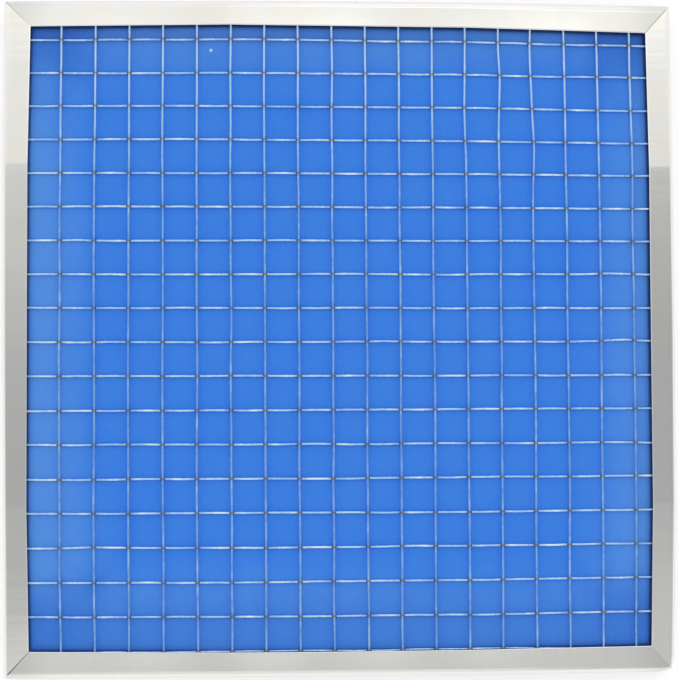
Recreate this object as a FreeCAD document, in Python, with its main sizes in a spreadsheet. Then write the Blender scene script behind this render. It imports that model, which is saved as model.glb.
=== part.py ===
import FreeCAD, Part
import math
import os
import Sketcher
from enum import IntEnum

# Reusable furnace filter, nominal 20 x 20 x 1 inch: a mitred U-channel frame that grips
# two welded wire grids with a washable fibre pad between them.
#
# The filter lies on its back. X runs across the face, Y up the face and Z from the rear
# flange (Z = 0) to the front flange. The origin is the middle of the rear face.

doc = FreeCAD.newDocument("FurnaceFilter")

# Driving sizes in millimetres, one cell each.
SIZES = [
    # Frame: four lengths of roll-formed channel, sawn at 45 degrees.
    ("frame_width", 501.65, "across the face, over the side webs"),
    ("frame_height", 501.65, "up the face, over the top and bottom webs"),
    ("frame_depth", 22.2, "from rear flange to front flange"),
    ("flange_width", 16.8, "web outside to sheared flange edge"),
    ("sheet_gauge", 0.9, "thickness of the channel sheet"),
    ("bend_radius", 4.0, "outside radius of the two channel bends"),
    ("gap_top_left", 0.10, "saw gap left open at each mitre"),
    ("gap_top_right", 0.30, ""),
    ("gap_bottom_left", 0.45, ""),
    ("gap_bottom_right", 0.15, ""),
    # Corner angles, spot-welded inside the channel to both webs.
    ("angle_leg", 34.0, "outside length of each leg"),
    ("angle_gauge", 1.2, "thickness of the angle sheet"),
    ("angle_bend", 2.4, "outside radius of the angle's bend"),
    ("angle_side_gap", 0.3, "from the angle's edge to the start of a channel bend"),
    # Wire grids: line wires run up the face, cross wires are welded behind them.
    ("wire_diameter", 1.7, "galvanised wire"),
    ("wire_pitch", 25.4, "between neighbouring wires, both ways"),
    ("wire_end_gap", 4.8, "from a cut wire end to the inside of the web"),
    ("first_line_inset", 9.5, "from the grid's left edge to its first line wire"),
    ("first_cross_inset", 11.2, "from the grid's bottom edge to its first cross wire"),
    # Fibre pad, nipped between the two grids.
    ("pad_edge_gap", 0.5, "from the pad's cut edge to the corner angles"),
    ("pad_face_gap", 0.1, "from the pad's face to the cross wires"),
]

sheet = doc.addObject("Spreadsheet::Sheet", "Sizes")
for row, (alias, value, meaning) in enumerate(SIZES, start=1):
    sheet.set("A%d" % row, alias)
    sheet.set("B%d" % row, str(value))
    sheet.set("C%d" % row, meaning)
    sheet.setAlias("B%d" % row, alias)
doc.recompute()

NODES = []


def new_body(label):
    """A body with its own label, which also names its file."""
    body = doc.addObject("PartDesign::Body", label)
    body.Label = label
    NODES.append(body)
    return body


def place(item, x, y, z, turn=FreeCAD.Rotation()):
    """Turn an item, and tie its position to expressions of the sheet."""
    item.Placement = FreeCAD.Placement(FreeCAD.Vector(0, 0, 0), turn)
    item.setExpression("Placement.Base.x", x)
    item.setExpression("Placement.Base.y", y)
    item.setExpression("Placement.Base.z", z)


def new_sketch(body, name, role, lift=None):
    """A sketch on one of the body's own planes, lifted off it by an expression."""
    sketch = body.newObject("Sketcher::SketchObject", name)
    plane = [item for item in body.Origin.OriginFeatures if item.Role == role][0]
    sketch.AttachmentSupport = [(plane, "")]
    sketch.MapMode = "FlatFace"
    if lift:
        sketch.setExpression("AttachmentOffset.Base.z", lift)
    return sketch


def tie(sketch, name, expression, *constraint):
    """Add a driving dimension, name it and tie it to an expression of the sheet."""
    index = sketch.addConstraint(Sketcher.Constraint(*constraint))
    sketch.renameConstraint(index, name)
    sketch.setExpression("Constraints." + name, expression)


def line(x1, y1, x2, y2):
    return Part.LineSegment(FreeCAD.Vector(x1, y1, 0), FreeCAD.Vector(x2, y2, 0))


def quarter(cx, cy, radius, start):
    """A quarter circle that runs anticlockwise from the angle start, in degrees."""
    circle = Part.Circle(FreeCAD.Vector(cx, cy, 0), FreeCAD.Vector(0, 0, 1), radius)
    return Part.ArcOfCircle(circle, math.radians(start), math.radians(start + 90))


class Spot(IntEnum):
    """The points of a sketch's line or arc, by the Sketcher's own numbers."""
    START = 1
    END = 2
    CENTRE = 3


class Datum(IntEnum):
    """The sketch's own axes. The horizontal one starts at the origin."""
    H_AXIS = -1
    V_AXIS = -2


START, END, CENTRE = Spot
H_AXIS, V_AXIS = Datum
ORIGIN = H_AXIS


def channel_profile(body):
    """The U section, with its web on the sketch's vertical axis and its mouth to the right."""
    depth = sheet.frame_depth
    reach = sheet.flange_width
    gauge = sheet.sheet_gauge
    bend = sheet.bend_radius
    sketch = new_sketch(body, body.Label + "_section", "YZ_Plane")
    rear, rear_bend, web, front_bend, front, front_tip = range(6)
    front_in, front_bend_in, web_in, rear_bend_in, rear_in, rear_tip = range(6, 12)
    sketch.addGeometry([
        line(reach, 0, bend, 0),
        quarter(bend, bend, bend, 180),
        line(0, bend, 0, depth - bend),
        quarter(bend, depth - bend, bend, 90),
        line(bend, depth, reach, depth),
        line(reach, depth, reach, depth - gauge),
        line(reach, depth - gauge, bend, depth - gauge),
        quarter(bend, depth - bend, bend - gauge, 90),
        line(gauge, depth - bend, gauge, bend),
        quarter(bend, bend, bend - gauge, 180),
        line(bend, gauge, reach, gauge),
        line(reach, gauge, reach, 0),
    ])
    sketch.addConstraint([
        Sketcher.Constraint("Tangent", rear, END, rear_bend, END),
        Sketcher.Constraint("Tangent", rear_bend, START, web, START),
        Sketcher.Constraint("Tangent", web, END, front_bend, END),
        Sketcher.Constraint("Tangent", front_bend, START, front, START),
        Sketcher.Constraint("Coincident", front, END, front_tip, START),
        Sketcher.Constraint("Coincident", front_tip, END, front_in, START),
        Sketcher.Constraint("Tangent", front_in, END, front_bend_in, START),
        Sketcher.Constraint("Tangent", front_bend_in, END, web_in, START),
        Sketcher.Constraint("Tangent", web_in, END, rear_bend_in, START),
        Sketcher.Constraint("Tangent", rear_bend_in, END, rear_in, START),
        Sketcher.Constraint("Coincident", rear_in, END, rear_tip, START),
        Sketcher.Constraint("Coincident", rear_tip, END, rear, START),
        Sketcher.Constraint("Vertical", web),
        Sketcher.Constraint("Horizontal", rear),
        Sketcher.Constraint("Horizontal", front),
        Sketcher.Constraint("Horizontal", front_in),
        Sketcher.Constraint("Horizontal", rear_in),
        Sketcher.Constraint("Vertical", front_tip),
        Sketcher.Constraint("Vertical", rear_tip),
        Sketcher.Constraint("Vertical", front, END, rear, START),
        Sketcher.Constraint("Coincident", rear_bend, CENTRE, rear_bend_in, CENTRE),
        Sketcher.Constraint("Coincident", front_bend, CENTRE, front_bend_in, CENTRE),
        Sketcher.Constraint("Equal", rear_bend, front_bend),
        Sketcher.Constraint("Equal", rear_bend_in, front_bend_in),
        Sketcher.Constraint("PointOnObject", rear, START, H_AXIS),
        Sketcher.Constraint("PointOnObject", web, START, V_AXIS),
    ])
    tie(sketch, "bend", "Sizes.bend_radius", "Radius", rear_bend, bend)
    tie(sketch, "inner_bend", "Sizes.bend_radius - Sizes.sheet_gauge",
        "Radius", rear_bend_in, bend - gauge)
    tie(sketch, "depth", "Sizes.frame_depth", "DistanceY", rear, START, front, END, depth)
    tie(sketch, "reach", "Sizes.flange_width", "DistanceX", web, START, rear, START, reach)
    return sketch


# How far a mitre's cutting triangle stands clear of the metal.
CUTTER_MARGIN = 4.0


def mitre_cutter(body, name, side, length, gap):
    """A triangle that saws one end of a rail at 45 degrees, short by half the corner's gap.

    side is 1 for the right end and -1 for the left. Only the saw line is a real edge.
    """
    half = sheet.get(length) / 2
    reach = sheet.flange_width
    margin = CUTTER_MARGIN
    sketch = new_sketch(body, name, "XY_Plane")
    tip = half + margin
    root = half - reach - margin
    sketch.addGeometry([
        line(side * tip, -margin, side * root, reach + margin),
        line(side * root, reach + margin, side * tip, reach + margin),
        line(side * tip, reach + margin, side * tip, -margin),
    ])
    saw, top, outside = range(3)
    sketch.addConstraint([
        Sketcher.Constraint("Coincident", saw, END, top, START),
        Sketcher.Constraint("Coincident", top, END, outside, START),
        Sketcher.Constraint("Coincident", outside, END, saw, START),
        Sketcher.Constraint("Horizontal", top),
        Sketcher.Constraint("Vertical", outside),
        Sketcher.Constraint("Equal", top, outside),
    ])
    # A gap across the saw line takes gap / sqrt(2) off each rail's length.
    across = "Sizes.%s / 2 - Sizes.%s / sqrt(2) + %g" % (length, gap, margin)
    ends = (ORIGIN, START, saw, START) if side > 0 else (saw, START, ORIGIN, START)
    tie(sketch, "tip", across, "DistanceX", *ends, tip)
    tie(sketch, "below", "%g" % margin, "DistanceY", saw, START, ORIGIN, START, margin)
    tie(sketch, "rise", "Sizes.flange_width + %g" % (2 * margin),
        "DistanceY", saw, START, saw, END, reach + 2 * margin)
    return sketch


def saw_end(body, sketch):
    """Saw the rail along a cutter sketch, through both flanges and the web."""
    doc.recompute()
    before = body.Shape.Volume
    cut = body.newObject("PartDesign::Pocket", sketch.Label + "_cut")
    cut.Profile = sketch
    cut.SideType = "Symmetric"
    cut.setExpression("Length", "4 * Sizes.frame_depth")
    doc.recompute()
    if not body.Shape.Volume < before:
        raise RuntimeError(cut.Label + " cuts nothing")


def rail(label, length, corners, x, y, turn):
    """One side of the frame, modelled as the bottom one and turned to its place.

    corners names the gaps at its left and right ends, as seen with the web at the bottom.
    """
    body = new_body(label)
    sketch = channel_profile(body)
    pad = body.newObject("PartDesign::Pad", label + "_length")
    pad.Profile = sketch
    pad.SideType = "Symmetric"
    pad.setExpression("Length", "Sizes." + length)
    for side, corner in zip((-1, 1), corners):
        end = "left" if side < 0 else "right"
        saw_end(body, mitre_cutter(body, "%s_%s_mitre" % (label, end), side, length, corner))
    place(body, x, y, "0", FreeCAD.Rotation(FreeCAD.Vector(0, 0, 1), turn))


def frame():
    rail("frame_rail_bottom", "frame_width", ("gap_bottom_left", "gap_bottom_right"),
         "0", "-Sizes.frame_height / 2", 0)
    rail("frame_rail_right", "frame_height", ("gap_bottom_right", "gap_top_right"),
         "Sizes.frame_width / 2", "0", 90)
    rail("frame_rail_top", "frame_width", ("gap_top_right", "gap_top_left"),
         "0", "Sizes.frame_height / 2", 180)
    rail("frame_rail_left", "frame_height", ("gap_top_left", "gap_bottom_left"),
         "-Sizes.frame_width / 2", "0", 270)


def corner_angle(label, x, y, turn):
    """A bent angle that ties two webs, modelled for the bottom left corner.

    Its outside faces lie on the insides of the two webs, clear of the channel's bends.
    """
    leg = sheet.angle_leg
    gauge = sheet.angle_gauge
    bend = sheet.angle_bend
    body = new_body(label)
    sketch = new_sketch(body, label + "_section", "XY_Plane",
                        "Sizes.bend_radius + Sizes.angle_side_gap")
    low, low_end, low_in, bend_in, side_in, side_end, side, bend_out = range(8)
    sketch.addGeometry([
        line(bend, 0, leg, 0),
        line(leg, 0, leg, gauge),
        line(leg, gauge, bend, gauge),
        quarter(bend, bend, bend - gauge, 180),
        line(gauge, bend, gauge, leg),
        line(gauge, leg, 0, leg),
        line(0, leg, 0, bend),
        quarter(bend, bend, bend, 180),
    ])
    sketch.addConstraint([
        Sketcher.Constraint("Coincident", low, END, low_end, START),
        Sketcher.Constraint("Coincident", low_end, END, low_in, START),
        Sketcher.Constraint("Tangent", low_in, END, bend_in, END),
        Sketcher.Constraint("Tangent", bend_in, START, side_in, START),
        Sketcher.Constraint("Coincident", side_in, END, side_end, START),
        Sketcher.Constraint("Coincident", side_end, END, side, START),
        Sketcher.Constraint("Tangent", side, END, bend_out, START),
        Sketcher.Constraint("Tangent", bend_out, END, low, START),
        Sketcher.Constraint("Vertical", low_end),
        Sketcher.Constraint("Horizontal", side_end),
        Sketcher.Constraint("Vertical", side),
        Sketcher.Constraint("Vertical", side_in),
        Sketcher.Constraint("Horizontal", low),
        Sketcher.Constraint("Horizontal", low_in),
        Sketcher.Constraint("Coincident", bend_out, CENTRE, bend_in, CENTRE),
        Sketcher.Constraint("PointOnObject", low, START, H_AXIS),
        Sketcher.Constraint("PointOnObject", side, END, V_AXIS),
    ])
    tie(sketch, "bend", "Sizes.angle_bend", "Radius", bend_out, bend)
    tie(sketch, "inner_bend", "Sizes.angle_bend - Sizes.angle_gauge",
        "Radius", bend_in, bend - gauge)
    tie(sketch, "low_leg", "Sizes.angle_leg", "DistanceX", ORIGIN, START, low, END, leg)
    tie(sketch, "side_leg", "Sizes.angle_leg", "DistanceY", ORIGIN, START, side, START, leg)
    pad = body.newObject("PartDesign::Pad", label + "_width")
    pad.Profile = sketch
    pad.setExpression("Length", "Sizes.frame_depth - 2 * (Sizes.bend_radius + Sizes.angle_side_gap)")
    place(body, x, y, "0", FreeCAD.Rotation(FreeCAD.Vector(0, 0, 1), turn))


def corner_angles():
    across = "(Sizes.frame_width / 2 - Sizes.sheet_gauge)"
    up = "(Sizes.frame_height / 2 - Sizes.sheet_gauge)"
    corner_angle("corner_angle_bottom_left", "-" + across, "-" + up, 0)
    corner_angle("corner_angle_bottom_right", across, "-" + up, 90)
    corner_angle("corner_angle_top_right", across, up, 180)
    corner_angle("corner_angle_top_left", "-" + across, up, 270)


# Each grid is as wide and as high as the channel leaves room for.
GRID_WIDTH = "(Sizes.frame_width - 2 * (Sizes.sheet_gauge + Sizes.wire_end_gap))"
GRID_HEIGHT = "(Sizes.frame_height - 2 * (Sizes.sheet_gauge + Sizes.wire_end_gap))"

# Heights of the wire axes: line wires lie on the flanges, cross wires on the line wires.
FRONT_LINE = "Sizes.frame_depth - Sizes.sheet_gauge - Sizes.wire_diameter / 2"
FRONT_CROSS = "Sizes.frame_depth - Sizes.sheet_gauge - 1.5 * Sizes.wire_diameter"
REAR_LINE = "Sizes.sheet_gauge + Sizes.wire_diameter / 2"
REAR_CROSS = "Sizes.sheet_gauge + 1.5 * Sizes.wire_diameter"


def wire(label, length, x, y, z, turn):
    """One straight cut wire, from its start at x, y, z."""
    rod = doc.addObject("Part::Cylinder", label)
    rod.Label = label
    rod.setExpression("Radius", "Sizes.wire_diameter / 2")
    rod.setExpression("Height", length)
    place(rod, x, y, z, turn)
    return rod


def line_wires(prefix, z):
    """The wires that run up the face, from left to right."""
    width = sheet.frame_width - 2 * (sheet.sheet_gauge + sheet.wire_end_gap)
    count = int((width - sheet.first_line_inset) // sheet.wire_pitch) + 1
    upright = FreeCAD.Rotation(FreeCAD.Vector(1, 0, 0), -90)
    wires = []
    for index in range(count):
        x = "-%s / 2 + Sizes.first_line_inset + %d * Sizes.wire_pitch" % (GRID_WIDTH, index)
        label = "%s_line_wire_%02d" % (prefix, index + 1)
        wires.append(wire(label, GRID_HEIGHT, x, "-%s / 2" % GRID_HEIGHT, z, upright))
    return wires


def cross_wires(prefix, z):
    """The wires that run across the face, from bottom to top."""
    height = sheet.frame_height - 2 * (sheet.sheet_gauge + sheet.wire_end_gap)
    count = int((height - sheet.first_cross_inset) // sheet.wire_pitch) + 1
    level = FreeCAD.Rotation(FreeCAD.Vector(0, 1, 0), 90)
    wires = []
    for index in range(count):
        y = "-%s / 2 + Sizes.first_cross_inset + %d * Sizes.wire_pitch" % (GRID_HEIGHT, index)
        label = "%s_cross_wire_%02d" % (prefix, index + 1)
        wires.append(wire(label, GRID_WIDTH, "-%s / 2" % GRID_WIDTH, y, z, level))
    return wires


def wire_grids():
    """The front grid's wires are a node each, the rear grid's are two groups."""
    NODES.extend(line_wires("front", FRONT_LINE))
    NODES.extend(cross_wires("front", FRONT_CROSS))
    for label, wires in (("rear_line_wires", line_wires("rear", REAR_LINE)),
                         ("rear_cross_wires", cross_wires("rear", REAR_CROSS))):
        group = doc.addObject("Part::Compound", label)
        group.Label = label
        group.Links = wires
        NODES.append(group)


def media_pad():
    """The fibre pad, cut square to drop between the corner angles."""
    body = new_body("media_pad")
    sketch = new_sketch(body, "media_pad_outline", "XY_Plane",
                        "Sizes.sheet_gauge + 2 * Sizes.wire_diameter + Sizes.pad_face_gap")
    inset = sheet.sheet_gauge + sheet.angle_gauge + sheet.pad_edge_gap
    half_width = sheet.frame_width / 2 - inset
    half_height = sheet.frame_height / 2 - inset
    low, right, top, left = range(4)
    sketch.addGeometry([
        line(-half_width, -half_height, half_width, -half_height),
        line(half_width, -half_height, half_width, half_height),
        line(half_width, half_height, -half_width, half_height),
        line(-half_width, half_height, -half_width, -half_height),
    ])
    sketch.addConstraint([
        Sketcher.Constraint("Coincident", low, END, right, START),
        Sketcher.Constraint("Coincident", right, END, top, START),
        Sketcher.Constraint("Coincident", top, END, left, START),
        Sketcher.Constraint("Coincident", left, END, low, START),
        Sketcher.Constraint("Horizontal", low),
        Sketcher.Constraint("Horizontal", top),
        Sketcher.Constraint("Vertical", left),
        Sketcher.Constraint("Vertical", right),
        Sketcher.Constraint("Symmetric", low, START, right, END, ORIGIN, START),
    ])
    trim = " - 2 * (Sizes.sheet_gauge + Sizes.angle_gauge + Sizes.pad_edge_gap)"
    tie(sketch, "width", "Sizes.frame_width" + trim,
        "DistanceX", low, START, low, END, 2 * half_width)
    tie(sketch, "height", "Sizes.frame_height" + trim,
        "DistanceY", right, START, right, END, 2 * half_height)
    pad = body.newObject("PartDesign::Pad", "media_pad_thickness")
    pad.Profile = sketch
    pad.setExpression("Length", "Sizes.frame_depth - 2 * Sizes.sheet_gauge"
                                " - 4 * Sizes.wire_diameter - 2 * Sizes.pad_face_gap")


frame()
corner_angles()
media_pad()
wire_grids()
doc.recompute()

# Nothing is written unless every object is sound.
for item in doc.Objects:
    if "Invalid" in item.State or "Error" in item.State:
        raise RuntimeError("%s did not recompute: %s" % (item.Label, item.State))
for node in NODES:
    if node.Shape.isNull() or not node.Shape.isValid():
        raise RuntimeError(node.Label + " has no sound shape")

os.makedirs("parts", exist_ok=True)
for node in NODES:
    node.Shape.exportStep("parts/%s.step" % node.Label)
print("%d nodes written" % len(NODES))
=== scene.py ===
import functools
import math
import random

import bmesh
import bpy
from mathutils import Matrix, Vector


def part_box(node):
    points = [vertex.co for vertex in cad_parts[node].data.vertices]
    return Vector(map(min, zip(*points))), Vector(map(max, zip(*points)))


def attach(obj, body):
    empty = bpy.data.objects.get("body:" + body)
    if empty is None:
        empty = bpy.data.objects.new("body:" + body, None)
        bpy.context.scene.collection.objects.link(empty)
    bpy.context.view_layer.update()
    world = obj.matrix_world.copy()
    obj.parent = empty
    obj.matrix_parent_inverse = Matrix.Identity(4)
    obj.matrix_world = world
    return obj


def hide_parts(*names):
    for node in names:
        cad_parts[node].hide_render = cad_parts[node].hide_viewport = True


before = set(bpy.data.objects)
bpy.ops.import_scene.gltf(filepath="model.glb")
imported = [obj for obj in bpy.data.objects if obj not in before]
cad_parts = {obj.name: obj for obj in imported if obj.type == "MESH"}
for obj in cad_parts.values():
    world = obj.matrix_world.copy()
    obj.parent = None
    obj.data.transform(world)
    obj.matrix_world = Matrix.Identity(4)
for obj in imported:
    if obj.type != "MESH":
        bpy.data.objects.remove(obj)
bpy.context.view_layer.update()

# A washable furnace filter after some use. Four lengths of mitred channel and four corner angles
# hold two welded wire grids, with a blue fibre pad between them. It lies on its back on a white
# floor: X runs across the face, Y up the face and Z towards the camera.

MM = 0.001
X, Y, Z = 0, 1, 2


# Shader trees, written as sums of sockets.

class Signal:
    """A node's output that can stand in a sum or a product."""

    def __init__(self, finish, socket):
        self.finish = finish
        self.socket = socket

    def __add__(self, other):
        return self.finish.maths("ADD", self, other)

    def __sub__(self, other):
        return self.finish.maths("SUBTRACT", self, other)

    def __rsub__(self, other):
        return self.finish.maths("SUBTRACT", other, self)

    def __mul__(self, other):
        return self.finish.maths("MULTIPLY", self, other)

    def __truediv__(self, other):
        return self.finish.maths("DIVIDE", self, other)

    def __abs__(self):
        return self.finish.maths("ABSOLUTE", self)

    __radd__ = __add__
    __rmul__ = __mul__


class Finish:
    """A material or world whose nodes are made one call at a time."""

    def __init__(self, owner):
        owner.use_nodes = True
        self.owner = owner
        self.tree = owner.node_tree
        self.tree.nodes.clear()

    def node(self, kind, settings=None, stops=None, **inputs):
        """Make a node, set it up, feed its inputs by name, and return its outputs by name."""
        made = self.tree.nodes.new("ShaderNode" + kind)
        for key, value in (settings or {}).items():
            setattr(made, key, value)
        if stops:
            ramp = made.color_ramp.elements
            ramp.remove(ramp[1])
            ramp[0].position = stops[0][0]
            ramp[0].color = (*stops[0][1], 1.0)
            for place, tint in stops[1:]:
                ramp.new(place).color = (*tint, 1.0)
        for name, value in inputs.items():
            self.feed(made, name.replace("_", " "), value)
        return {out.name: Signal(self, out) for out in made.outputs if out.enabled}

    def feed(self, made, name, value):
        """Link or set the enabled input of that name, or of that number."""
        enabled = [item for item in made.inputs if item.enabled]
        if name.isdigit():
            socket = enabled[int(name)]
        else:
            socket = [item for item in enabled if item.name == name][0]
        if isinstance(value, Signal):
            self.tree.links.new(value.socket, socket)
        else:
            socket.default_value = value

    def maths(self, operation, first, second=0.0, clamp=False):
        """A sum on one or two values."""
        made = self.tree.nodes.new("ShaderNodeMath")
        made.operation = operation
        made.use_clamp = clamp
        for place, value in enumerate((first, second)):
            if made.inputs[place].enabled:
                self.feed(made, str(place), value)
        return Signal(self, made.outputs[0])

    def blend(self, share, first, second):
        """Mix two colours by a share from 0 to 1."""
        made = self.tree.nodes.new("ShaderNodeMix")
        made.data_type = "RGBA"
        for name, value in (("Factor", share), ("A", colour(first)), ("B", colour(second))):
            self.feed(made, name, value)
        return Signal(self, [out for out in made.outputs if out.enabled][0])

    def rise(self, value, low, high, top=1.0):
        """0 below low and top above high, with a soft step between."""
        return self.node("MapRange", {"interpolation_type": "SMOOTHSTEP"}, Value=value,
                         From_Min=low, From_Max=high, To_Min=0.0, To_Max=top)["Result"]

    def place(self):
        """Position on the object in millimetres, and its three parts."""
        spot = self.node("TexCoord")["Object"]
        scaled = self.node("VectorMath", {"operation": "SCALE"}, Vector=spot,
                           Scale=1 / MM)["Vector"]
        parts = self.node("SeparateXYZ", Vector=scaled)
        return scaled, parts["X"], parts["Y"], parts["Z"]

    def given(self, attribute):
        """A number that the mesh carries at its vertices."""
        return self.node("Attribute", {"attribute_name": attribute})["Fac"]

    def stretched(self, spot, stretch):
        """The same position with each axis multiplied."""
        return self.node("VectorMath", {"operation": "MULTIPLY"},
                         **{"0": spot, "1": stretch})["Vector"]

    def cloud(self, spot, size, detail=2.0, rough=0.5):
        """Even noise from 0 to 1 with features about size millimetres across."""
        return self.node("TexNoise", Vector=spot, Scale=1.0 / size, Detail=detail,
                         Roughness=rough)["Fac"]

    def relief(self, height, depth=1.0):
        """A normal from a height in millimetres, times depth."""
        return self.node("Bump", Strength=1.0, Distance=MM * depth, Height=height)["Normal"]

    def surface(self, shader):
        """Put the shader on the owner's surface, and return the owner."""
        kind = "World" if isinstance(self.owner, bpy.types.World) else "Material"
        out = self.tree.nodes.new("ShaderNodeOutput" + kind)
        self.tree.links.new(shader.socket, out.inputs["Surface"])
        return self.owner


def colour(value):
    """A colour of three numbers with its alpha added, or a signal as it is."""
    return (*value, 1.0) if isinstance(value, tuple) and len(value) == 3 else value


def srgb(*levels):
    """A colour read off the object as three levels from 0 to 255, in the shader's own scale."""
    shares = [level / 255 for level in levels]
    return tuple(((share + 0.055) / 1.055) ** 2.4 if share > 0.04045 else share / 12.92
                 for share in shares)


# Places taken from the frame.

def span(node, axis):
    """A node's lowest and highest place along an axis."""
    low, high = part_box(node)
    return low[axis], high[axis]


def middle_of(node, axis):
    """The place halfway along a node's extent on an axis."""
    return sum(span(node, axis)) / 2


WIRES = {
    "line": sorted(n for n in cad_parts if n.startswith("front_line_wire_")),
    "cross": sorted(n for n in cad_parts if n.startswith("front_cross_wire_")),
}
WIRE_RADIUS = (span(WIRES["line"][0], X)[1] - span(WIRES["line"][0], X)[0]) / 2
LINE_X = [middle_of(node, X) for node in WIRES["line"]]
CROSS_Y = [middle_of(node, Y) for node in WIRES["cross"]]
PITCH = LINE_X[1] - LINE_X[0]
GRID_X = span(WIRES["cross"][0], X)
GRID_Y = span(WIRES["line"][0], Y)
PAD_LOW, PAD_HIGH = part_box("media_pad")
HALF = span("frame_rail_right", X)[1]
DEPTH = span("frame_rail_top", Z)[1]
REACH = HALF - span("frame_rail_right", X)[0]
OPENING = HALF - REACH
SHEET = DEPTH - span(WIRES["line"][0], Z)[1]


# The used filter isn't quite true: each rail has two slight kinks, and is straight between them
# and out to the corners, which lean in.

# Where the kinks lie along the rails, in mm.
KINKS = {X: (-86.0, 95.0), Y: (-127.0, 128.0)}

# How far the inner and outer edge of each rail lie inside their true lines, in mm: at the rail's
# low end, its low kink, its middle, its high kink and its high end.
INNER = {
    "left": (2.9, 0.5, 0.4, 0.45, 2.6),
    "right": (3.4, 0.45, 0.1, -0.4, 1.1),
    "bottom": (2.0, -0.6, -1.1, -1.1, 0.1),
    "top": (3.9, 0.8, 1.0, 1.2, 4.1),
}
OUTER = {
    "left": (1.4, 0.1, -0.9, -1.4, -0.4),
    "right": (2.2, -0.9, -2.0, -2.1, -1.7),
    "bottom": (-0.8, -2.3, -2.5, -3.2, -2.9),
    "top": (1.0, -1.0, -1.6, -1.8, -0.9),
}

# How fast the rails' pull on the grids and the pad fades towards the middle.
FADE = 1.5

# The front stands this much proud of its true plane, and the corners droop from there.
PROUD = 0.1 * MM
DROOP = 1.3 * MM

# The bottom right corner has been knocked round, over this reach, by this share of it. It gave
# less sideways.
KNOCKED = 9.0 * MM
DENT = 0.28
DENT_ASIDE = 0.7


def inward(sprung, axis, along):
    """How far in an edge lies, in metres, at a place along it."""
    places = (-HALF / MM, KINKS[axis][0], 0.0, KINKS[axis][1], HALF / MM)
    run = along / MM
    index = sum(run > place for place in places[1:-1])
    share = (run - places[index]) / (places[index + 1] - places[index])
    return MM * (sprung[index] * (1 - share) + sprung[index + 1] * share)


def pulled(rail, axis, along, out, grip):
    """How far in a point lies that is out metres from the middle and along metres up the rail."""
    inner = inward(INNER[rail], axis, along)
    if out < OPENING:
        return grip * inner * (out / OPENING) ** FADE
    share = (out - OPENING) / REACH
    return grip * (inner * (1 - share) + inward(OUTER[rail], axis, along) * share)


def lean(axis, along):
    """0 between a rail's kinks, rising straight to 1 at its ends."""
    low, high = KINKS[axis]
    run = along / MM
    return max(0.0, (run - high) / (HALF / MM - high), (low - run) / (HALF / MM + low))


def settle(mesh, grip):
    """Move a mesh of true parts to where they lie in the used filter."""
    for vert in mesh.verts:
        x, y, _ = vert.co
        dent = DENT * max(0.0, KNOCKED - (HALF - x) - (HALF + y))
        vert.co.x -= dent * DENT_ASIDE
        vert.co.y += dent
        side = "right" if x > 0 else "left"
        level = "top" if y > 0 else "bottom"
        vert.co.x -= pulled(side, Y, y, abs(x), grip) * math.copysign(1.0, x)
        vert.co.y -= pulled(level, X, x, abs(y), grip) * math.copysign(1.0, y)
        vert.co.z *= 1.0 + (PROUD - DROOP * lean(X, x) * lean(Y, y)) / DEPTH


def finish_piece(name, mesh, material, slot, *nodes, grip=1.0):
    """Settle a bmesh and turn it into a piece that stands for CAD nodes and rides on the filter."""
    settle(mesh, grip)
    data = bpy.data.meshes.new(name)
    mesh.to_mesh(data)
    mesh.free()
    data.materials.append(material)
    piece = bpy.data.objects.new(name, data)
    bpy.context.scene.collection.objects.link(piece)
    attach(piece, "root")
    if nodes:
        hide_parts(*nodes)
    return piece


def crisp(mesh, flat):
    """Make these faces flat with crisp edges, and every other face smooth."""
    flat = set(flat)
    for face in mesh.faces:
        face.smooth = face not in flat
    for face in flat:
        for edge in face.edges:
            edge.smooth = False


def slice_at(mesh, place, normal, clear=False):
    """Cut a mesh at a plane, clear what lies outside it if asked, and return the cut's edges."""
    everything = mesh.verts[:] + mesh.edges[:] + mesh.faces[:]
    cut = bmesh.ops.bisect_plane(mesh, geom=everything, dist=1e-6, plane_co=place,
                                 plane_no=normal, clear_outer=clear)["geom_cut"]
    return [item for item in cut if isinstance(item, bmesh.types.BMEdge)]


def turned(degrees):
    """A turn in the filter's plane."""
    return Matrix.Rotation(math.radians(degrees), 3, "Z")


# Folded sheet: the four rails and the four corner angles.

# Outside radius of the channel's bends, the round on its sheared edges, and how far beyond each
# of them the flat faces are cut once more, so that they shade flat.
BEND = 4.0 * MM
DEBURR = 0.42 * MM
MARGIN = 0.4 * MM

# Rings along a rail, and the extra ones beside each kink, in mm.
STATIONS = 99
BESIDE_KINK = (-1.4, -0.5, 0.5, 1.4)

# Slope of the flat faces beyond each kink, that only their reflection shows.
TILT = 0.011

# The flange's edge stands off by a steady part and slow waves, so high (in mm) and long (in m).
FLARE = 0.20 * MM
FLARE_WAVES = 5
FLARE_HEIGHT = (0.01, 0.025)
FLARE_LENGTH = (0.06, 0.28)
FLARE_CURVE = 1.4

# The corner angle's bend, gauge and edge rounds.
ANGLE_BEND = 2.4 * MM
ANGLE_GAUGE = 1.2 * MM
ANGLE_DEBURR = 0.15 * MM

# Saw gaps at the mitres, in mm, each with the extra that it opens by at the outer corner.
MITRES = {
    "bottom_left": (0.25, 0.35),
    "bottom_right": (0.03, 0.02),
    "top_right": (0.22, 0.10),
    "top_left": (0.03, 0.25),
}


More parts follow.
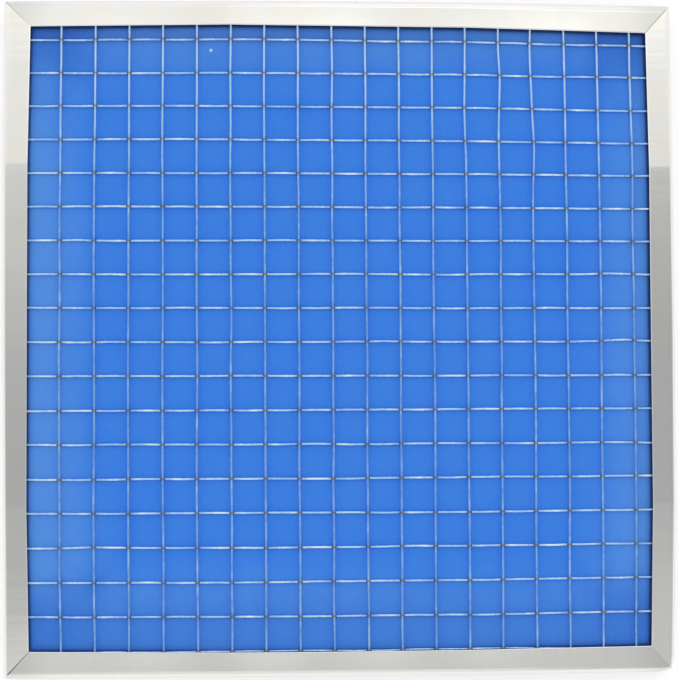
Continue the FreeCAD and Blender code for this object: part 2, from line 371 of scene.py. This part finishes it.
def channel_finish(name, along, end_darkening):
    """Bright mill-finish sheet with fine drawing lines across it and smudges.

    Its web is rubbed duller by the rack, a painted highlight runs along its flange's edge, and a
    cream tint is painted over its upper part for the warmer light there. The last argument is how
    much darker its ends are made.
    """
    finish = Finish(bpy.data.materials.new(name))
    spot, x, y, _ = finish.place()
    if along == X:
        run, across, lengthwise = x, (1.0, 0.03, 0.03), (0.02, 1.0, 1.0)
    else:
        run, across, lengthwise = y, (0.03, 1.0, 0.03), (1.0, 0.02, 1.0)
    drawn = finish.stretched(spot, across)
    lines = finish.cloud(drawn, size=1.2, detail=4.0, rough=0.7)
    bands = finish.cloud(drawn, size=26.0, detail=3.0, rough=0.6)
    smudge = finish.cloud(spot, size=17.0, detail=4.0, rough=0.6)
    tone = finish.blend(bands * 0.5 + smudge * 0.5, srgb(234, 234, 233), srgb(244, 243, 240))

    # Painted warm light: a patchy cream tint over the upper part, where the light the sheet
    # reflects is warmer.
    painted_warm_tint = (finish.rise(finish.cloud(drawn, size=38.0), low=0.42, high=0.62)
            * finish.rise(y, low=-20.0, high=120.0))
    tone = finish.blend(painted_warm_tint * 0.25, tone, srgb(246, 240, 224))
    # Darker towards the rail's ends, by the share given for them.
    darker_ends = finish.rise(abs(run) + smudge * 12.0, low=214.0, high=252.0, top=end_darkening)
    tone = finish.blend(darker_ends, tone, srgb(178, 178, 176))

    brink = finish.given("brink")
    # Painted highlight: white along the flange's sheared edge, where it catches the light.
    painted_edge_highlight = 1.0 - finish.rise(brink + lines * 0.4, low=0.5, high=1.5)
    tone = finish.blend(painted_edge_highlight, tone, srgb(255, 255, 255))
    web = finish.rise(brink, low=REACH / MM - 0.15, high=REACH / MM)
    slid = finish.cloud(finish.stretched(spot, lengthwise), size=0.7, detail=3.0, rough=0.7)
    rubbed = finish.blend(finish.rise(slid * 0.6 + smudge * 0.4, low=0.35, high=0.65),
                          srgb(190, 191, 192), srgb(212, 212, 210))
    tone = finish.blend(web, tone, rubbed)

    low, high = KINKS[along]
    beyond = finish.maths("MAXIMUM", run - high, 0.0) + finish.maths("MAXIMUM", low - run, 0.0)
    height = lines * 0.004 + bands * 0.08 + smudge * 0.015 - beyond * TILT
    shader = finish.node("BsdfPrincipled", Base_Color=tone, Metallic=1.0,
                         Specular_Tint=(0.70, 0.70, 0.70, 1.0),
                         Roughness=0.08 + smudge * 0.03 + lines * 0.04 + web * 0.12,
                         Normal=finish.relief(height))["BSDF"]
    return finish.surface(shader)


def angle_finish():
    """Dull mill-finish strip, rolled upright, with a faint grey bloom."""
    finish = Finish(bpy.data.materials.new("angle_strip"))
    spot, _, _, _ = finish.place()
    rolled = finish.cloud(finish.stretched(spot, (0.04, 0.04, 1.0)), size=0.5, detail=3.0)
    bloom = finish.cloud(spot, size=6.0, detail=4.0, rough=0.6)
    tone = finish.blend(bloom, srgb(196, 197, 198), srgb(222, 222, 220))
    shader = finish.node("BsdfPrincipled", Base_Color=tone, Metallic=1.0,
                         Roughness=0.34 + bloom * 0.14,
                         Normal=finish.relief(rolled * 0.01 + bloom * 0.02))["BSDF"]
    return finish.surface(shader)


def folded_sheet(line, bend, gauge, length):
    """Sheet folded along a line of outer corners, each given as (across, up), centred along X."""
    metal = bmesh.new()
    path = [metal.verts.new((-length / 2, across, up)) for across, up in line]
    edges = [metal.edges.new(pair) for pair in zip(path, path[1:])]
    made = bmesh.ops.extrude_edge_only(metal, edges=edges)["geom"]
    far = [item for item in made if isinstance(item, bmesh.types.BMVert)]
    bmesh.ops.translate(metal, vec=(length, 0, 0), verts=far)
    folds = [edge for edge in metal.edges if len(edge.link_faces) == 2]
    bmesh.ops.bevel(metal, geom=folds, offset=bend, offset_type="OFFSET", segments=8, profile=0.5,
                    affect="EDGES", material=-1)
    bmesh.ops.recalc_face_normals(metal, faces=metal.faces)
    bmesh.ops.solidify(metal, geom=list(metal.faces), thickness=gauge)
    return metal


def long_edges(metal, length):
    """The edges that run the length of a folded sheet."""
    return [edge for edge in metal.edges
            if abs(edge.verts[0].co.x - edge.verts[1].co.x) > length / 2]


def flare(rail, along):
    """How far the flange's edge stands off its true plane, pushed up by the grid."""
    dice = random.Random("flare " + rail)
    height = FLARE
    for _ in range(FLARE_WAVES):
        length = dice.uniform(*FLARE_LENGTH)
        height += (dice.uniform(*FLARE_HEIGHT) * MM
                   * math.sin(math.tau * (along / length + dice.random())))
    return height


def channel_rail(rail, axis, turn, corners, material):
    """One mitred U channel, made as the bottom one and turned to its place.

    corners names the mitres at its left and right ends, as seen with the web at the bottom.
    """
    length = 2 * HALF
    metal = folded_sheet([(REACH, 0.0), (0.0, 0.0), (0.0, DEPTH), (REACH, DEPTH)],
                         BEND, SHEET, length)
    tips = [edge for edge in long_edges(metal, length) if edge.verts[0].co.y > REACH - DEBURR]
    bmesh.ops.bevel(metal, geom=tips, offset=DEBURR, offset_type="OFFSET", segments=3, profile=0.5,
                    affect="EDGES", material=-1)
    for place in (BEND + MARGIN, REACH - DEBURR - MARGIN):
        slice_at(metal, (0, place, 0), (0, 1, 0))
    for place in (BEND + MARGIN, DEPTH - BEND - MARGIN):
        slice_at(metal, (0, 0, place), (0, 0, 1))
    bmesh.ops.subdivide_edges(metal, edges=long_edges(metal, length), cuts=STATIONS,
                              use_grid_fill=True)
    forward = 1.0 if turn in (0, 90) else -1.0
    for kink in KINKS[axis]:
        for beside in BESIDE_KINK:
            slice_at(metal, ((kink * forward + beside) * MM, 0, 0), (1, 0, 0))
    brink = metal.verts.layers.float.new("brink")
    for vert in metal.verts:
        vert[brink] = (REACH - vert.co.y) / MM
    caps = []
    for side, corner in zip((-1.0, 1.0), corners):
        gap, opening = MITRES[corner]
        back = HALF - (gap + opening) * MM / math.sqrt(2)
        slope = opening * MM / math.sqrt(2) / REACH
        rim = slice_at(metal, (side * back, 0, 0), Vector((side, 1.0 - slope, 0)).normalized(),
                       clear=True)
        caps += bmesh.ops.edgenet_fill(metal, edges=rim)["faces"]
    for vert in metal.verts:
        if vert.co.z > DEPTH / 2 and vert.co.y > BEND:
            share = ((vert.co.y - BEND) / (REACH - BEND)) ** FLARE_CURVE
            vert.co.z += flare(rail, vert.co.x * forward) * share
    crisp(metal, caps)
    bmesh.ops.translate(metal, vec=(0, -HALF, 0), verts=metal.verts)
    bmesh.ops.rotate(metal, cent=(0, 0, 0), matrix=turned(turn), verts=metal.verts)
    finish_piece("frame_rail_%s_channel" % rail, metal, material, "frame_metal",
                 "frame_rail_" + rail)


def corner_angle(node, turn, material):
    """The bent angle inside a corner, made for the bottom left one."""
    low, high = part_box(node)
    leg = high.x - low.x
    inside = HALF - SHEET
    metal = folded_sheet([(leg, 0.0), (0.0, 0.0), (0.0, leg)], ANGLE_BEND, ANGLE_GAUGE,
                         high.z - low.z)
    sharp = [edge for edge in metal.edges if edge.calc_face_angle(0.0) > 1.0]
    bmesh.ops.bevel(metal, geom=sharp, offset=ANGLE_DEBURR, offset_type="OFFSET", segments=2,
                    profile=0.5, affect="EDGES", material=-1)
    upright = Matrix(((0, 1, 0), (0, 0, 1), (1, 0, 0)))
    bmesh.ops.rotate(metal, cent=(0, 0, 0), matrix=upright, verts=metal.verts)
    bmesh.ops.translate(metal, vec=(-inside, -inside, (low.z + high.z) / 2), verts=metal.verts)
    bmesh.ops.rotate(metal, cent=(0, 0, 0), matrix=turned(turn), verts=metal.verts)
    bmesh.ops.recalc_face_normals(metal, faces=metal.faces)
    finish_piece(node + "_bent", metal, material, "corner_metal", node)


def metal_frame():
    """The four rails, and the four corner angles inside them."""
    level = channel_finish("channel_level", X, end_darkening=0.3)
    upright = channel_finish("channel_upright", Y, end_darkening=0.0)
    corners = list(MITRES)
    channel_rail("bottom", X, 0, corners[0:2], level)
    channel_rail("right", Y, 90, corners[1:3], upright)
    channel_rail("top", X, 180, corners[2:4], level)
    channel_rail("left", Y, 270, (corners[3], corners[0]), upright)
    dull = angle_finish()
    for place, corner in enumerate(corners):
        corner_angle("corner_angle_" + corner, 90 * place, dull)


# The fibre pad.

CELLS_PER_PITCH = 5

# How far it swells through each mesh of the grids, waves over its whole face (the length of
# the waves, over tau, in m) and is pressed back.
PILLOW = 0.45 * MM
PILLOW_CURVE = 0.6
SLACK = 0.12 * MM
SLACK_X, SLACK_Y = 0.041, 0.057
SEAT = 0.15 * MM

# How far it is tucked under the flanges, over how many mm from how many mm inside their edge.
TUCK = 1.4 * MM
TUCK_CURVE = 1.5
TUCK_FROM, TUCK_OVER = 4.0, 5.0

# Extra cuts across the tuck, as distances inside the flanges' edge.
TUCK_CUTS = (4.0 * MM, 1.5 * MM, -0.6 * MM)

# A fleck of white lint caught on the front of the pad: its middle and its fuzzy rim, in mm.
LINT_X, LINT_Y = -97.7, 214.4
LINT_RIM = (0.4, 1.7)


def media_finish():
    """Blue felted polyester: short fibres, cloudy density, a faint veil of loose fibre, painted
    light and shade.
    """
    finish = Finish(bpy.data.materials.new("blue_media"))
    spot, x, y, z = finish.place()
    south = y * -1.0
    cloudy = finish.cloud(spot, size=36.0, detail=4.0, rough=0.55)
    clump = finish.cloud(spot, size=5.0, detail=3.0, rough=0.6)

    # Fibres that lie both ways and wander.
    warp = finish.node("TexNoise", Vector=spot, Scale=0.5, Detail=2.0)["Color"]
    bent = finish.node("VectorMath", {"operation": "MULTIPLY_ADD"},
                       **{"0": warp, "1": (3.0, 3.0, 3.0), "2": spot})["Vector"]
    fibre = finish.maths("MAXIMUM", *(finish.cloud(finish.stretched(bent, way), size=0.6)
                                      for way in ((3.0, 0.5, 1.0), (0.5, 3.0, 1.0))))

    # Painted light: a pale glow along the edges, with a ragged border, that is thin in the corners.
    inset = finish.given("inset")
    ragged = (inset + (cloudy - 0.5) * 44.0 + finish.rise(x, 0.0, 200.0, top=8.0)
              + finish.rise(y, 60.0, 200.0, top=9.0) - finish.rise(south, 60.0, 190.0, top=14.0))
    nearer = finish.maths("MINIMUM", abs(x), abs(y))
    corner = finish.rise(nearer + (cloudy - 0.5) * 60.0, 160.0, 215.0)
    low = finish.rise(south + (clump - 0.5) * 24.0, 178.0, 214.0)
    corner_thinning = 0.65 - finish.rise(south, 0.0, 200.0, top=0.40)
    painted_edge_light = ((1.0 - finish.rise(ragged, 6.0, 60.0)) * (1.0 - corner * corner_thinning) * (1.0 - low * 0.6)
            * 0.58)

    # Painted shade in the corners and along the top and right, where the flanges shade the pad, and
    # a painted shadow under the flanges. It is darker towards the bottom too.
    dim = (corner * (0.26 - low * 0.16) + low * 0.18 + finish.rise(y, 190.0, 216.0, top=0.12)
           + finish.rise(y, 214.0, 226.0, top=0.22) + finish.rise(x, 222.0, 232.0, top=0.14))
    under_flange_shadow = 1.0 - finish.rise(inset, -0.4, 2.4)
    base = finish.blend(cloudy, srgb(48, 134, 252), srgb(65, 142, 247))
    base = finish.blend(painted_edge_light, base, srgb(106, 169, 249))
    base = finish.blend(dim, base, srgb(34, 81, 185))
    base = finish.blend(under_flange_shadow * 0.85, base, srgb(15, 27, 89))
    loose = finish.rise(fibre * 0.7 + clump * 0.3, 0.40, 0.72, top=0.22)
    tone = finish.blend(loose, base, srgb(91, 154, 244))

    beside, above = x - LINT_X, y - LINT_Y
    apart = finish.maths("SQRT", beside * beside + above * above)
    front = finish.rise(z, 11.0, 12.0)
    tone = finish.blend((1.0 - finish.rise(apart, *LINT_RIM)) * front, tone, srgb(196, 240, 255))
    shader = finish.node("BsdfPrincipled", Base_Color=tone, Roughness=0.95,
                         Normal=finish.relief(fibre * 0.10 + clump * 0.25))["BSDF"]
    return finish.surface(shader)


def media_pad():
    """A pad that swells a little through each mesh of the grids, with felted cut edges."""
    pad = bmesh.new()
    size = PAD_HIGH - PAD_LOW
    centre = (PAD_LOW + PAD_HIGH) / 2
    bmesh.ops.create_cube(pad, size=1.0)
    bmesh.ops.scale(pad, vec=size, verts=pad.verts)
    bmesh.ops.translate(pad, vec=centre, verts=pad.verts)
    cuts = int(size.x / PITCH * CELLS_PER_PITCH)
    level = [edge for edge in pad.edges if abs(edge.verts[0].co.z - edge.verts[1].co.z) < MM]
    bmesh.ops.subdivide_edges(pad, edges=level, cuts=cuts, use_grid_fill=True)
    for axis in (X, Y):
        for inside in TUCK_CUTS:
            for side in (-1.0, 1.0):
                plane = Vector((0, 0, 0))
                plane[axis] = side
                slice_at(pad, plane * (OPENING - inside), plane)
    inset = pad.verts.layers.float.new("inset")
    for vert in pad.verts:
        x, y = vert.co.x, vert.co.y
        vert[inset] = (OPENING - max(abs(x), abs(y))) / MM
        across = math.sin(math.pi * (x - LINE_X[0]) / PITCH)
        up = math.sin(math.pi * (y - CROSS_Y[0]) / PITCH)
        swell = PILLOW * abs(across * up) ** PILLOW_CURVE
        slack = SLACK * math.sin(x / SLACK_X + 1.0) * math.sin(y / SLACK_Y)
        under = min(max((TUCK_FROM - vert[inset]) / TUCK_OVER, 0.0), 1.0)
        side = 1.0 if vert.co.z > centre.z else -1.0
        vert.co.z += side * (swell + slack - SEAT - TUCK * under ** TUCK_CURVE)
    crisp(pad, [face for face in pad.faces if abs(face.normal.z) < 0.5])
    piece = finish_piece("media_pad_felt", pad, media_finish(), "filter_media", "media_pad")


# Bent wire, one piece for each wire of the front grid.

SIDES = 12
RINGS_PER_PITCH = 8

# The wires' ends are free in the channel, so that they follow the rails only so far.
WIRE_GRIP = 0.75

# A wire leans by up to DRIFT over DRIFT_OVER metres, and drifts in a few waves. Their height is
# a share of DRIFT, and their length is in metres.
DRIFT = 0.30 * MM
DRIFT_OVER = 0.25
DRIFT_WAVES = 3
DRIFT_HEIGHT = (0.2, 0.5)
DRIFT_LENGTH = (0.07, 0.30)

# It bows sideways between its welds, the cross wires most. They stand forward there as well.
BOW = {"cross": 0.22 * MM, "line": 0.11 * MM}
BOWS = 24
DIP = 0.28 * MM
DIP_CURVE = 0.7

# Bends left by handling: place along the wire, sideways push and half length, in mm.
KNOCKS = {
    ("front", "line", 15): [(196.0, 0.9, 16.0), (150.0, -0.5, 20.0)],
    ("front", "line", 16): [(140.0, 1.3, 22.0), (215.0, -1.0, 24.0)],
    ("front", "line", 14): [(170.0, -0.7, 26.0)],
    ("front", "cross", 10): [(212.0, 1.2, 14.0)],
    ("front", "cross", 12): [(205.0, 0.9, 16.0)],
    ("front", "cross", 4): [(-190.0, 0.8, 20.0)],
    ("front", "cross", 1): [(-215.0, -0.9, 60.0), (225.0, -1.5, 80.0)],
}

# Least and most length, width and height of a weld bead, as multiples of the wire's thickness.
BEAD = ((2.1, 2.8), (1.05, 1.3), (0.8, 1.0))


def wire_finish(name, along, first, mark, strength, dull, bright, painted_glint, painted_top_light):
    """Zinc-coated wire, dull to bright, with a scorched mark at each weld, mark mm either side.

    strength is how dark the marks are. The last two arguments say how strongly light is painted on:
    near-white glints in some patches, and a brightening towards the filter's top, where it reflects
    more light.
    """
    finish = Finish(bpy.data.materials.new(name))
    spot, _, y, _ = finish.place()
    run = finish.given("run")
    cell = finish.maths("FRACT", (run - first / MM) / (PITCH / MM) + 100.5) - 0.5
    away = abs(cell) * (PITCH / MM)
    patch = finish.cloud(spot, size=1.1)
    burnt = 1.0 - finish.rise(away + patch * 0.8, mark * 0.8, mark * 1.3)
    # Beyond the burnt mark it is darker, more faintly, out to five times mark, so the highlight
    # fades towards each weld.
    tinted = 1.0 - finish.rise(away + patch * 1.5, mark, mark * 5.0)
    weld_marks = burnt * strength + tinted * 0.22

    spangle = finish.cloud(spot, size=2.2)
    lengthwise = (0.04, 1.0, 1.0) if along == X else (1.0, 0.04, 1.0)
    drawn = finish.cloud(finish.stretched(spot, lengthwise), size=0.25)
    bloom = finish.cloud(spot, size=13.0)
    zinc = finish.blend(finish.rise(spangle * 0.35 + bloom * 0.65, 0.36, 0.64), dull, bright)
    # Painted highlight: patches brought near white, to shine as glints.
    zinc = finish.blend(finish.rise(bloom, 0.615, 0.69, top=painted_glint), zinc, srgb(238, 250, 255))
    # Painted light: brighter towards the filter's top, where the wire reflects more of the bright
    # studio.
    zinc = finish.blend(finish.rise(y, 90.0, 205.0, top=painted_top_light), zinc, srgb(212, 240, 255))
    tone = finish.blend(weld_marks, zinc, srgb(74, 64, 46))
    shader = finish.node("BsdfPrincipled", Base_Color=tone, Metallic=0.62 - weld_marks * 0.3,
                         Roughness=0.20 + spangle * 0.10 + weld_marks * 0.3,
                         Normal=finish.relief(drawn * 0.006 + spangle * 0.012))["BSDF"]
    return finish.surface(shader)


def weld_finish():
    """Burnt zinc and scale on the weld beads."""
    finish = Finish(bpy.data.materials.new("weld_scale"))
    spot, _, _, _ = finish.place()
    patch = finish.cloud(spot, size=0.9, detail=3.0)
    tone = finish.blend(patch, srgb(92, 83, 72), srgb(156, 147, 128))
    shader = finish.node("BsdfPrincipled", Base_Color=tone, Metallic=0.55,
                         Roughness=0.45 + patch * 0.25,
                         Normal=finish.relief(patch, depth=0.06))["BSDF"]
    return finish.surface(shader)


def wander(seed, reach):
    """A slow sideways drift, in metres, of a wire that was straightened and welded by machine."""
    dice = random.Random(seed)
    slant = dice.uniform(-1.0, 1.0) * reach
    waves = [(dice.uniform(*DRIFT_HEIGHT) * reach, dice.uniform(*DRIFT_LENGTH),
              dice.uniform(0, math.tau)) for _ in range(DRIFT_WAVES)]

    def drift(along):
        return slant * along / DRIFT_OVER + sum(
            height * math.sin(math.tau * along / length + start) for height, length, start in waves)
    return drift


def knock(side, kind, number, along):
    """How far handling has pushed the wire sideways at a place along it."""
    total = 0.0
    for place, push, reach in KNOCKS.get((side, kind, number), []):
        total += push * MM * math.exp(-((along / MM - place) / reach) ** 2)
    return total


@functools.cache
def sideways(side, kind, number):
    """How far the wire's axis lies beside its true place, as a function of the place along it."""
    seed = "%s %s %d" % (side, kind, number)
    drift = wander(seed, DRIFT)
    dice = random.Random(seed + " bow")
    bows = [dice.uniform(-1.0, 1.0) * BOW[kind] for _ in range(BOWS)]
    first = LINE_X[0] if kind == "cross" else CROSS_Y[0]

    def shift(along):
        cell = (along - first) / PITCH
        bow = bows[int(cell + 2) % BOWS] * math.sin(math.pi * (cell % 1.0)) ** 2
        return drift(along) + bow + knock(side, kind, number, along)
    return shift


def crossing_shift(side, kind, along, centre):
    """How far the nearest crossing wire lies beside its true place, where it meets this one."""
    other, places = ("line", LINE_X) if kind == "cross" else ("cross", CROSS_Y)
    number = min(max(round((along - places[0]) / PITCH), 0), len(places) - 1) + 1
    return sideways(side, other, number)(centre)


def dip(kind, along):
    """Cross wires are pressed back at each weld and stand forward between welds."""
    if kind == "line":
        return 0.0
    cell = ((along - LINE_X[0]) / PITCH) % 1.0
    return DIP * (math.sin(math.pi * cell) ** DIP_CURVE - 0.5)


def bent_wire(side, kind, number, level, facing):
    """A bmesh of one wire: a capped rod, cut into rings that follow the wire's bends."""
    axis = X if kind == "cross" else Y
    low, high = GRID_X if kind == "cross" else GRID_Y
    centre = CROSS_Y[number - 1] if kind == "cross" else LINE_X[number - 1]
    shift = sideways(side, kind, number)
    rod = bmesh.new()
    bmesh.ops.create_cone(rod, cap_ends=True, segments=SIDES, radius1=WIRE_RADIUS,
                          radius2=WIRE_RADIUS, depth=high - low)
    lengths = [edge for edge in rod.edges
               if abs(edge.verts[0].co.z - edge.verts[1].co.z) > PITCH]
    rings = int((high - low) / PITCH * RINGS_PER_PITCH)
    bmesh.ops.subdivide_edges(rod, edges=lengths, cuts=rings, use_grid_fill=True)
    if kind == "cross":
        turn = Matrix.Rotation(math.pi / 2, 3, "Y")
    else:
        turn = Matrix.Rotation(-math.pi / 2, 3, "X")
    bmesh.ops.rotate(rod, cent=(0, 0, 0), matrix=turn, verts=rod.verts)
    middle = Vector((0, 0, level))
    middle[axis] = (low + high) / 2
    middle[1 - axis] = centre
    bmesh.ops.translate(rod, vec=middle, verts=rod.verts)
    run = rod.verts.layers.float.new("run")
    for vert in rod.verts:
        along = vert.co[axis]
        vert[run] = (along - crossing_shift(side, kind, along, centre)) / MM
        vert.co[1 - axis] += shift(along)
        vert.co.z += facing * dip(kind, along)
    crisp(rod, [face for face in rod.faces if len(face.verts) == SIDES])
    return rod


def weld_beads(name, side, depth, material):
    """A squashed bead at every crossing, where the wires have melted into each other."""
    bead = bmesh.new()
    bmesh.ops.create_uvsphere(bead, u_segments=8, v_segments=5, radius=WIRE_RADIUS)
    for face in bead.faces:
        face.smooth = True
    shape = bpy.data.meshes.new("bead")
    bead.to_mesh(shape)
    bead.free()
    beads = bmesh.new()
    dice = random.Random(name)
    line_shifts = [sideways(side, "line", i + 1) for i in range(len(LINE_X))]
    cross_shifts = [sideways(side, "cross", j + 1) for j in range(len(CROSS_Y))]
    for i, x in enumerate(LINE_X):
        for j, y in enumerate(CROSS_Y):
            spot = Vector((x + line_shifts[i](y), y + cross_shifts[j](x), depth))
            size = [dice.uniform(*limits) for limits in BEAD]
            copy = shape.copy()
            copy.transform(Matrix.Translation(spot) @ Matrix.Diagonal((*size, 1.0)))
            beads.from_mesh(copy)
            bpy.data.meshes.remove(copy)
    bpy.data.meshes.remove(shape)
    finish_piece(name, beads, material, "grid_wire", grip=WIRE_GRIP)


def join(meshes):
    """One bmesh from several."""
    whole = bmesh.new()
    for mesh in meshes:
        data = bpy.data.meshes.new("part")
        mesh.to_mesh(data)
        mesh.free()
        whole.from_mesh(data)
        bpy.data.meshes.remove(data)
    return whole


def wire_grids():
    """The front and rear grids, with their weld beads."""
    # Zinc grey, with a painted blue tint for the pad's blue light that the wires reflect.
    zinc = {
        "cross": wire_finish("zinc_cross_wire", X, LINE_X[0], mark=2.0, strength=0.54,
                             dull=srgb(154, 203, 255), bright=srgb(208, 240, 255),
                             painted_glint=1.0, painted_top_light=0.0),
        "line": wire_finish("zinc_line_wire", Y, CROSS_Y[0], mark=1.0, strength=0.36,
                            dull=srgb(124, 177, 246), bright=srgb(158, 206, 255),
                            painted_glint=0.2, painted_top_light=0.55),
    }
    scale = weld_finish()
    for kind, nodes in WIRES.items():
        for number, node in enumerate(nodes, start=1):
            rod = bent_wire("front", kind, number, middle_of(node, Z), 1.0)
            finish_piece(node + "_bent", rod, zinc[kind], "grid_wire", node, grip=WIRE_GRIP)
    for kind, nodes in WIRES.items():
        group = "rear_%s_wires" % kind
        rods = [bent_wire("rear", kind, number, middle_of(group, Z), -1.0)
                for number in range(1, len(nodes) + 1)]
        finish_piece(group + "_bent", join(rods), zinc[kind], "grid_wire", group, grip=WIRE_GRIP)
    front = (middle_of(WIRES["line"][0], Z) + middle_of(WIRES["cross"][0], Z)) / 2
    rear = (middle_of("rear_line_wires", Z) + middle_of("rear_cross_wires", Z)) / 2
    weld_beads("front_weld_beads", "front", front, scale)
    weld_beads("rear_weld_beads", "rear", rear, scale)


# Studio.

CAMERA_PLACE = Vector((-104.0, -81.5, 1405.9)) * MM
CAMERA_AIM = Vector((-2.1, -4.0, 19.6)) * MM
CAMERA_ROLL = math.radians(-0.33)
LENS = 98.5
SENSOR = 36.0

FLOOR_HALF = 6.0
PAPER = (0.86, 0.86, 0.86, 1.0)
PAPER_GLOW = 0.38

# The studio's brightness overhead, by how far north a ray points, from -1 to 1. The flat metal
# mirrors it: the screens, gaps and ceiling that it stood under show as its tones.
SWEEP = (
    (-1.0, 1.05), (-0.85, 1.0), (-0.60, 0.90), (-0.30, 0.83), (-0.17, 0.88), (-0.15, 0.91),
    (-0.138, 0.66), (-0.130, 0.49), (-0.10, 0.475), (-0.06, 0.49), (-0.035, 0.44), (0.0, 0.44),
    (0.05, 0.50), (0.08, 0.565), (0.13, 0.68), (0.15, 0.67), (0.185, 0.89), (0.21, 0.95),
    (0.226, 0.85), (0.245, 0.85), (0.258, 0.96), (0.268, 1.18), (0.285, 1.18), (0.31, 1.03),
    (0.36, 0.97), (0.85, 1.01), (1.0, 1.04),
)
WHITE_BEYOND = 0.35
CORNER_LEVEL = 0.61


def shade(level):
    """Cool where the studio is dim and slightly warm where it is bright."""
    warm = min(max((level - 0.5) / 0.5, 0.0), 1.0)
    return 0.985 + 0.015 * warm, 0.99 + 0.005 * warm, 1.0 - 0.045 * warm


def room():
    """A white studio: dim overhead, bright beyond the top edge, and white round the horizon."""
    world = bpy.data.worlds.new("studio")
    bpy.context.scene.world = world
    finish = Finish(world)
    parts = finish.node("SeparateXYZ", Vector=finish.node("TexCoord")["Generated"])
    east, north, height = parts["X"], parts["Y"], parts["Z"]
    west, south = east * -1.0, north * -1.0

    # The ramp holds levels up to 1, so they are divided by the brightest, and multiplied later.
    brightest = max(level for _, level in SWEEP)

    def tinted(level, warmth):
        return tuple(level / brightest * tint for tint in shade(warmth))

    stops = [((place + 1) / 2, tinted(level, level if place < WHITE_BEYOND else 0.0))
             for place, level in SWEEP]
    sweep = finish.node("ValToRGB", stops=stops, Fac=north * 0.5 + 0.5)["Color"]
    near = 1.0 - finish.rise(south, 0.50, 0.75)
    corner = finish.rise(east, 0.205, 0.235) * finish.rise(south, 0.09, 0.112) * near
    sweep = finish.blend(corner, sweep, tinted(CORNER_LEVEL, CORNER_LEVEL))

    # Beyond the top edge: a lamp panel to the east, and striped screens above it.
    stripes = finish.maths("COSINE", (east - 0.059) * (math.tau / 0.132))
    panels = (stripes * finish.rise(north, 0.30, 0.42, top=0.05)
              + finish.rise(east, -0.02, 0.03, top=0.18)
              * (1.0 - finish.rise(north, 0.30, 0.40, top=0.8))
              + finish.rise(east, 0.03, 0.07, top=0.10)
              * (1.0 - finish.rise(east, 0.19, 0.24, top=0.5))
              ) * finish.rise(north, 0.24, 0.28) + 1.0

    # A little dimmer in the east than in the west, and in a nook in the south west.
    middle = finish.rise(north, -0.01, 0.09) * (1.0 - finish.rise(north, 0.145, 0.175, top=0.85)
                                                - finish.rise(north, 0.205, 0.235, top=0.15))
    sides = (1.0 - finish.rise(east, -0.10, 0.25, top=0.20) * middle
             + finish.rise(west, 0.15, 0.60, top=0.04))
    nook = 1.0 - finish.rise(west, 0.07, 0.10, top=0.14) * finish.rise(south, 0.125, 0.14) * near

    # Walls to both sides, dim in the room's four corners.
    walls = (finish.rise(abs(east), 0.28, 0.42) * (finish.rise(north, 0.05, 0.22, top=0.06) - 0.06)
             + 1.0)
    deep = (1.0 - finish.rise(abs(east), 0.30, 0.55)
            * finish.rise(abs(north), 0.30, 0.50, top=0.30))
    pattern = finish.node("VectorMath", {"operation": "SCALE"}, Vector=sweep,
                          Scale=panels * sides * nook * walls * deep * brightest)["Vector"]
    overhead = finish.rise(height, -0.3, 0.9) * finish.rise(height, 0.12, 0.30)
    tone = finish.blend(overhead, (1.0, 1.0, 1.0), pattern)
    finish.surface(finish.node("Background", Color=tone)["Background"])


def floor_finish():
    """White paper, which the camera and the metal see as white, with the filter's shadow kept."""
    finish = Finish(bpy.data.materials.new("floor_paper"))
    ray = finish.node("LightPath")
    mirrored = finish.maths("ADD", ray["Is Glossy Ray"], ray["Is Transmission Ray"])
    seen = finish.maths("ADD", ray["Is Camera Ray"], mirrored, clamp=True)
    paper = finish.node("BsdfDiffuse", Color=PAPER)["BSDF"]
    glow = finish.node("Emission", Color=(1.0, 1.0, 1.0, 1.0),
                       Strength=seen * PAPER_GLOW)["Emission"]
    return finish.surface(finish.node("AddShader", **{"0": paper, "1": glow})["Shader"])


def floor():
    """A wide sheet of white paper under the filter."""
    sheet = bmesh.new()
    bmesh.ops.create_grid(sheet, x_segments=1, y_segments=1, size=FLOOR_HALF)
    data = bpy.data.meshes.new("floor")
    sheet.to_mesh(data)
    sheet.free()
    data.materials.append(floor_finish())
    piece = bpy.data.objects.new("floor", data)
    bpy.context.scene.collection.objects.link(piece)


def camera():
    """The photograph's camera, high over the face and a little to its lower left."""
    eye = bpy.data.cameras.new("camera")
    eye.lens = LENS
    eye.sensor_width = SENSOR
    holder = bpy.data.objects.new("camera", eye)
    bpy.context.scene.collection.objects.link(holder)
    back = (CAMERA_PLACE - CAMERA_AIM).normalized()
    right = Vector((0, 1, 0)).cross(back).normalized()
    up = back.cross(right)
    pose = Matrix((right, up, back)).transposed() @ Matrix.Rotation(CAMERA_ROLL, 3, "Z")
    holder.matrix_world = Matrix.Translation(CAMERA_PLACE) @ pose.to_4x4()
    bpy.context.scene.camera = holder


metal_frame()
media_pad()
wire_grids()
floor()
room()
camera()
bpy.context.scene.view_settings.view_transform = "Standard"
